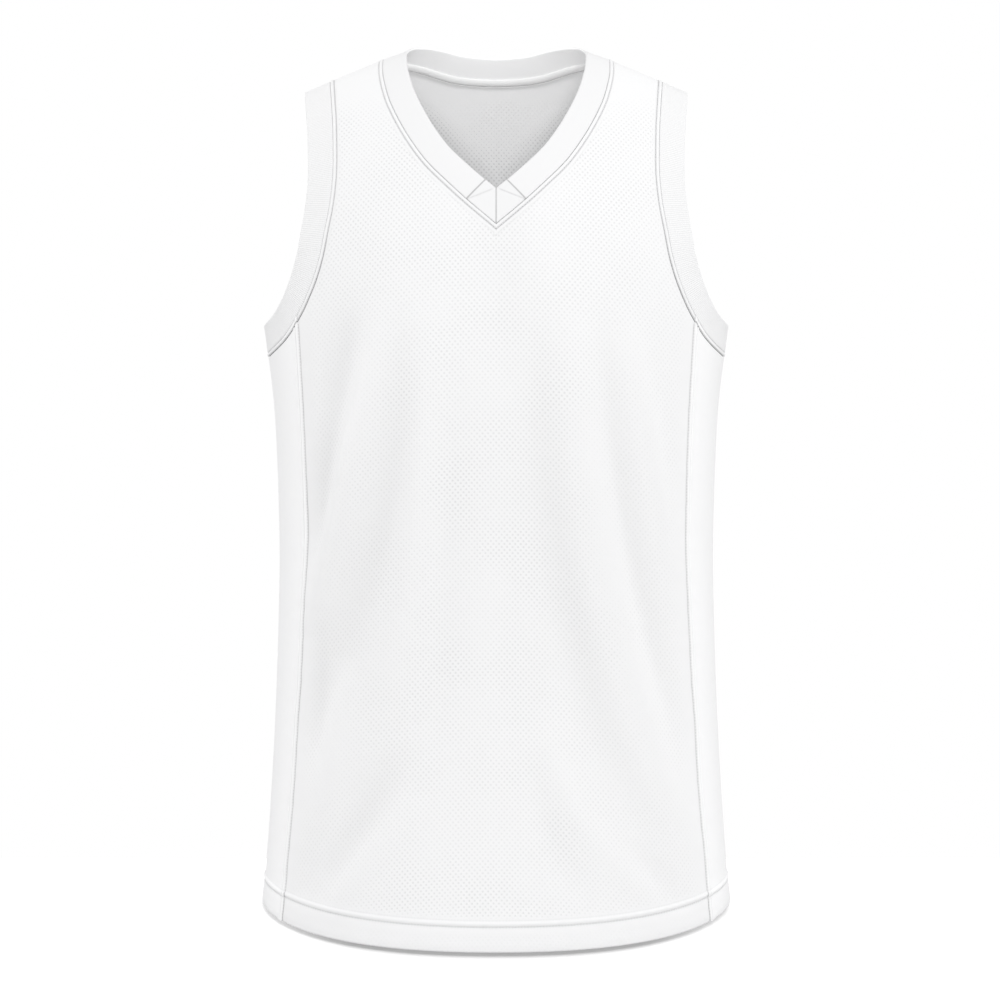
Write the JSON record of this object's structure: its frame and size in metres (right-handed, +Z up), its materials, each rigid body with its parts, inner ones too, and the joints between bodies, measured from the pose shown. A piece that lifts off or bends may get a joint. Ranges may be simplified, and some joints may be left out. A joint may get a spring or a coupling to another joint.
{
  "type": "basketball jersey",
  "caption": "Sleeveless basketball jersey with a V neck, folded neck and armhole bands, side panels and a curved hem, filled out as if worn.",
  "frame": {"origin": "midway between the shoulders, level with the middle of the shoulder seams, where a wearer's shoulders carry the garment", "axes": "+Z up towards the neck, -Y out of the front, +X towards the wearer's left hand"},
  "size_m": [0.406, 0.2455, 0.7548],
  "materials": {
    "mesh_knit": "matte",
    "smooth_knit": "matte",
    "rib_knit": "matte",
    "tape": "matte"
  },
  "bodies": {
    "root": {"front_panel": "mesh_knit", "back_panel": "mesh_knit", "side_panel_left": "smooth_knit", "side_panel_right": "smooth_knit", "neckband": "smooth_knit", "v_insert_left": "smooth_knit", "v_insert_right": "smooth_knit", "armhole_band_left": "rib_knit", "armhole_band_right": "rib_knit", "neck_tape": "tape"}
  },
  "joints": []
}
